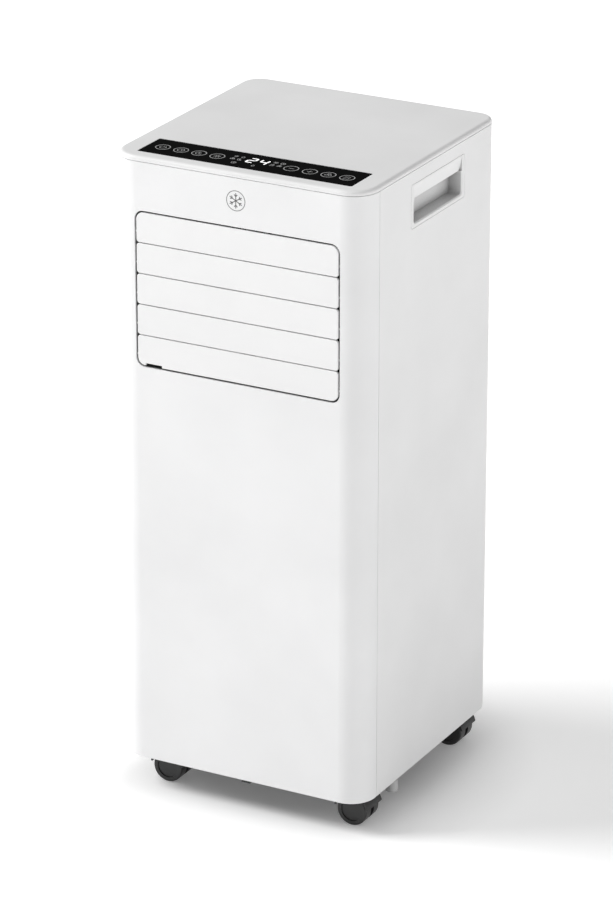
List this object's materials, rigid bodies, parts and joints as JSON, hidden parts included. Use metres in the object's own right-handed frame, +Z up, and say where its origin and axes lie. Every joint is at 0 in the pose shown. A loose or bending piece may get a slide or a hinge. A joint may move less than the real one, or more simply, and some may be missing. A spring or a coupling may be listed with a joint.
{
  "type": "portable air conditioner",
  "caption": "Tall portable air conditioner with a swinging front louvre, touch panel on top, side grips, rear hose port, filter grille and swivel casters.",
  "frame": {"origin": "on the floor, under the middle of the casing", "axes": "+Z up, -Y the front with the louvre, +X the unit's left as it faces you, which is on the right when seen from the front"},
  "size_m": [0.29, 0.296, 0.7],
  "materials": {
    "front_white": "satin white ABS",
    "side_white": "fine-grained white ABS",
    "louver_white": "satin white ABS",
    "panel_black": "gloss black acrylic",
    "board_green": "solder-masked board",
    "display_white": "display lens",
    "inner_grey": "dark grey moulding",
    "inner_white": "natural ABS",
    "foam_white": "moulded scroll",
    "fan_black": "black fan plastic",
    "motor_steel": "zinc-plated motor can",
    "shaft_steel": "ground steel",
    "fin_aluminium": "thin fin stock",
    "tube_copper": "drawn copper",
    "comp_black": "black stove enamel",
    "pump_iron": "cast iron",
    "rubber_black": "moulded rubber",
    "filter_grey": "nylon mesh",
    "caster_black": "black nylon",
    "plug_white": "soft white rubber",
    "screw_steel": "zinc plate",
    "capacitor_can": "drawn can"
  },
  "bodies": {
    "cabinet": {"front_panel": "front_white", "side_panel_right": "side_white", "side_panel_left": "side_white", "rear_panel": "side_white", "top_cover": "side_white", "grip_right": "side_white", "grip_left": "side_white", "lower_grille": "side_white", "hose_port": "side_white", "touch_panel": "panel_black", "control_board": "board_green", "main_board": "board_green", "display_module": "display_white", "louver_frame": "inner_grey", "swing_motor": "motor_steel", "outlet_duct": "inner_grey", "blower_scroll": "foam_white", "blower_motor": "motor_steel", "drain_tray": "inner_white", "evaporator_fins": "fin_aluminium", "evaporator_tubes": "tube_copper", "condenser_fins": "fin_aluminium", "condenser_tubes": "tube_copper", "exhaust_scroll": "inner_white", "exhaust_motor": "motor_steel", "exhaust_duct": "inner_white", "cord_gland": "rubber_black", "base_pan": "caster_black", "compressor_shell": "comp_black", "compressor_pump": "pump_iron", "compressor_feet": "rubber_black", "accumulator": "comp_black", "discharge_pipe": "tube_copper", "suction_pipe": "tube_copper", "capillary_tube": "tube_copper", "electrical_box": "inner_grey", "run_capacitor": "capacitor_can", "screws": "screw_steel"},
    "louver_1": {"louver_1": "louver_white"},
    "louver_2": {"louver_2": "louver_white"},
    "louver_3": {"louver_3": "louver_white"},
    "louver_4": {"louver_4": "louver_white"},
    "louver_5": {"louver_5": "louver_white"},
    "louver_link": {"louver_link": "inner_white"},
    "swing_crank": {"swing_crank": "inner_white"},
    "blower": {"blower_wheel": "fan_black", "blower_shaft": "shaft_steel"},
    "exhaust_fan": {"exhaust_wheel": "fan_black", "exhaust_shaft": "shaft_steel"},
    "filter_door": {"upper_grille": "side_white", "upper_filter": "filter_grey"},
    "drain_plug": {"drain_plug": "plug_white"},
    "caster_hood_fl": {"caster_hood_fl": "caster_black"},
    "caster_wheels_fl": {"caster_wheels_fl": "caster_black"},
    "caster_hood_fr": {"caster_hood_fr": "caster_black"},
    "caster_wheels_fr": {"caster_wheels_fr": "caster_black"},
    "caster_hood_rl": {"caster_hood_rl": "caster_black"},
    "caster_wheels_rl": {"caster_wheels_rl": "caster_black"},
    "caster_hood_rr": {"caster_hood_rr": "caster_black"},
    "caster_wheels_rr": {"caster_wheels_rr": "caster_black"}
  },
  "joints": [
    {"name": "louver_1_swing", "type": "hinge", "parent": "cabinet", "child": "louver_1", "pos_m": [0, -0.143, 0.6191], "axis": [-1, 0, 0], "range_deg": [0, 72]},
    {"name": "louver_2_swing", "type": "hinge", "parent": "cabinet", "child": "louver_2", "pos_m": [0, -0.143, 0.5862], "axis": [-1, 0, 0], "range_deg": [0, 72]},
    {"name": "louver_3_swing", "type": "hinge", "parent": "cabinet", "child": "louver_3", "pos_m": [0, -0.143, 0.5533], "axis": [-1, 0, 0], "range_deg": [0, 72]},
    {"name": "louver_4_swing", "type": "hinge", "parent": "cabinet", "child": "louver_4", "pos_m": [0, -0.143, 0.5204], "axis": [-1, 0, 0], "range_deg": [0, 72]},
    {"name": "louver_5_swing", "type": "hinge", "parent": "cabinet", "child": "louver_5", "pos_m": [0, -0.143, 0.4875], "axis": [-1, 0, 0], "range_deg": [0, 72]},
    {"name": "link_pivot", "type": "hinge", "parent": "louver_1", "child": "louver_link", "pos_m": [-0.1231, -0.13491, 0.62498], "axis": [-1, 0, 0], "range_deg": [-72, 0]},
    {"name": "swing_crank_turn", "type": "hinge", "parent": "cabinet", "child": "swing_crank", "pos_m": [-0.126, -0.112, 0.5533], "axis": [-1, 0, 0], "range_deg": [0, 72]},
    {"name": "blower_spin", "type": "hinge", "parent": "cabinet", "child": "blower", "pos_m": [0, 0.005, 0.545], "axis": [1, 0, 0], "continuous": true},
    {"name": "exhaust_fan_spin", "type": "hinge", "parent": "cabinet", "child": "exhaust_fan", "pos_m": [0.02, 0.068, 0.185], "axis": [0, 1, 0], "continuous": true},
    {"name": "filter_door_pull", "type": "slide", "parent": "cabinet", "child": "filter_door", "axis": [0, 1, 0], "range_m": [0, 0.06]},
    {"name": "drain_plug_pull", "type": "slide", "parent": "cabinet", "child": "drain_plug", "axis": [0, 0, -1], "range_m": [0, 0.012]},
    {"name": "caster_swivel_fl", "type": "hinge", "parent": "cabinet", "child": "caster_hood_fl", "pos_m": [-0.11, -0.11, 0.05], "axis": [0, 0, 1], "continuous": true},
    {"name": "caster_roll_fl", "type": "hinge", "parent": "caster_hood_fl", "child": "caster_wheels_fl", "pos_m": [-0.1, -0.11, 0.017], "axis": [0, 1, 0], "continuous": true},
    {"name": "caster_swivel_fr", "type": "hinge", "parent": "cabinet", "child": "caster_hood_fr", "pos_m": [0.11, -0.11, 0.05], "axis": [0, 0, 1], "continuous": true},
    {"name": "caster_roll_fr", "type": "hinge", "parent": "caster_hood_fr", "child": "caster_wheels_fr", "pos_m": [0.12, -0.11, 0.017], "axis": [0, 1, 0], "continuous": true},
    {"name": "caster_swivel_rl", "type": "hinge", "parent": "cabinet", "child": "caster_hood_rl", "pos_m": [-0.11, 0.11, 0.05], "axis": [0, 0, 1], "continuous": true},
    {"name": "caster_roll_rl", "type": "hinge", "parent": "caster_hood_rl", "child": "caster_wheels_rl", "pos_m": [-0.1, 0.11, 0.017], "axis": [0, 1, 0], "continuous": true},
    {"name": "caster_swivel_rr", "type": "hinge", "parent": "cabinet", "child": "caster_hood_rr", "pos_m": [0.11, 0.11, 0.05], "axis": [0, 0, 1], "continuous": true},
    {"name": "caster_roll_rr", "type": "hinge", "parent": "caster_hood_rr", "child": "caster_wheels_rr", "pos_m": [0.12, 0.11, 0.017], "axis": [0, 1, 0], "continuous": true}
  ],
  "couplings": [
    {"joint": "louver_2_swing", "follows": "louver_1_swing", "ratio": 1},
    {"joint": "louver_3_swing", "follows": "louver_1_swing", "ratio": 1},
    {"joint": "louver_4_swing", "follows": "louver_1_swing", "ratio": 1},
    {"joint": "louver_5_swing", "follows": "louver_1_swing", "ratio": 1},
    {"joint": "link_pivot", "follows": "louver_1_swing", "ratio": -1},
    {"joint": "swing_crank_turn", "follows": "louver_1_swing", "ratio": 1}
  ]
}
